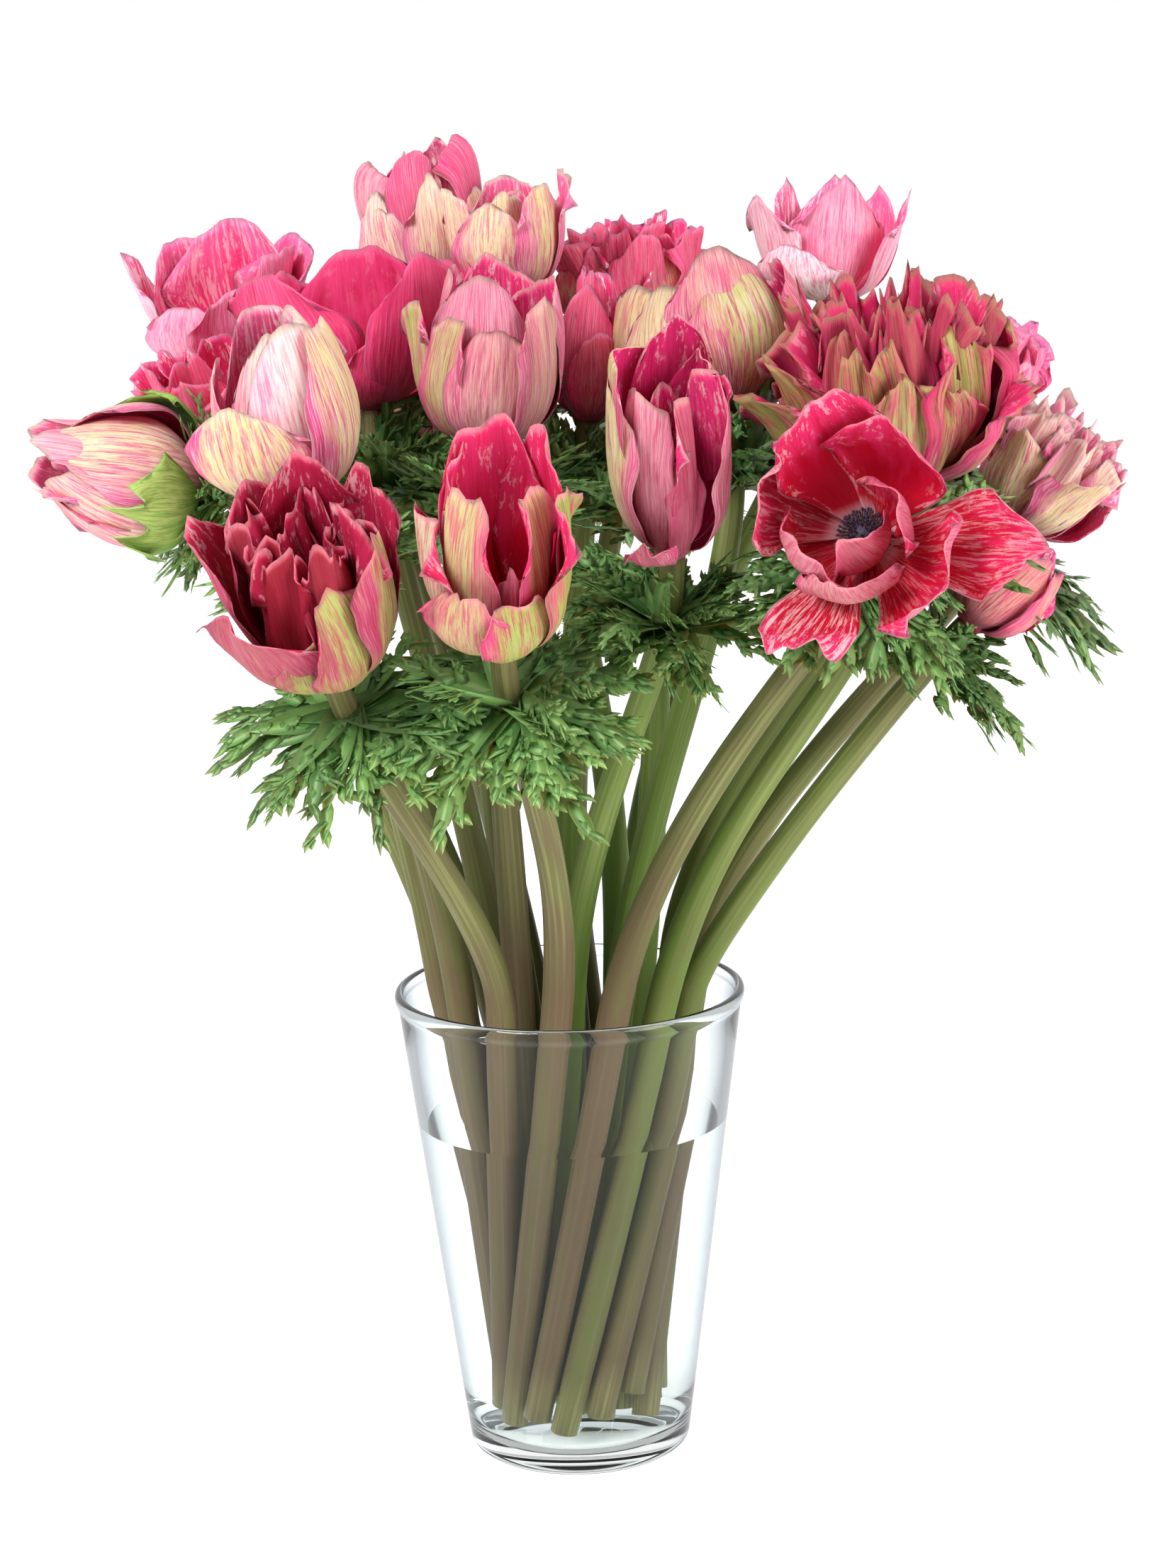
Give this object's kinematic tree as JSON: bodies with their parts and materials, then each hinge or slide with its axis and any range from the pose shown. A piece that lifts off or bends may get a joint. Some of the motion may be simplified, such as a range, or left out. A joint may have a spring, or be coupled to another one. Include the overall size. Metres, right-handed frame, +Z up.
{
  "type": "anemone bouquet in a glass vase",
  "caption": "Round bouquet of double and single anemones on thick stems with finely cut green collars, standing in water in a clear tapered glass vase.",
  "frame": {"origin": "middle of the vase's flat underside, which stands on the surface", "axes": "+Z up along the vase's axis, -Y towards the bouquet's front, +X to the viewer's right"},
  "size_m": [0.3544, 0.3222, 0.4503],
  "materials": {
    "glass": "clear polished glass",
    "water": "clear still water",
    "stem": "satin, downy, olive green with brown",
    "pink": "soft satin petals, pink with cream edges",
    "blush": "soft satin petals, blush pink with cream and green streaks",
    "dusky": "soft satin petals, dusky mauve pink with cream streaks",
    "crimson": "velvet petals, crimson inside",
    "eye": "matte blue-black stamens"
  },
  "bodies": {
    "root": {"vase": "glass", "water": "water", "stem_01": "stem", "bloom_01": "blush", "stem_02": "stem", "bloom_02": "pink", "eye_02": "eye", "stem_03": "stem", "bloom_03": "pink", "eye_03": "eye", "stem_04": "stem", "bloom_04": "pink", "stem_05": "stem", "bloom_05": "blush", "stem_06": "stem", "bloom_06": "blush", "stem_07": "stem", "bloom_07": "crimson", "stem_08": "stem", "bloom_08": "dusky", "stem_09": "stem", "bloom_09": "crimson", "stem_10": "stem", "bloom_10": "crimson", "stem_11": "stem", "bloom_11": "pink", "stem_12": "stem", "bloom_12": "dusky", "stem_13": "stem", "bloom_13": "dusky", "stem_14": "stem", "bloom_14": "blush", "stem_15": "stem", "bloom_15": "pink", "eye_15": "eye", "stem_16": "stem", "bloom_16": "dusky", "stem_17": "stem", "bloom_17": "crimson", "eye_17": "eye", "stem_18": "stem", "bloom_18": "dusky", "stem_19": "stem", "bloom_19": "pink", "stem_20": "stem", "bloom_20": "blush", "stem_21": "stem", "bloom_21": "pink", "stem_22": "stem", "bloom_22": "crimson", "stem_23": "stem", "bloom_23": "blush"}
  },
  "joints": []
}
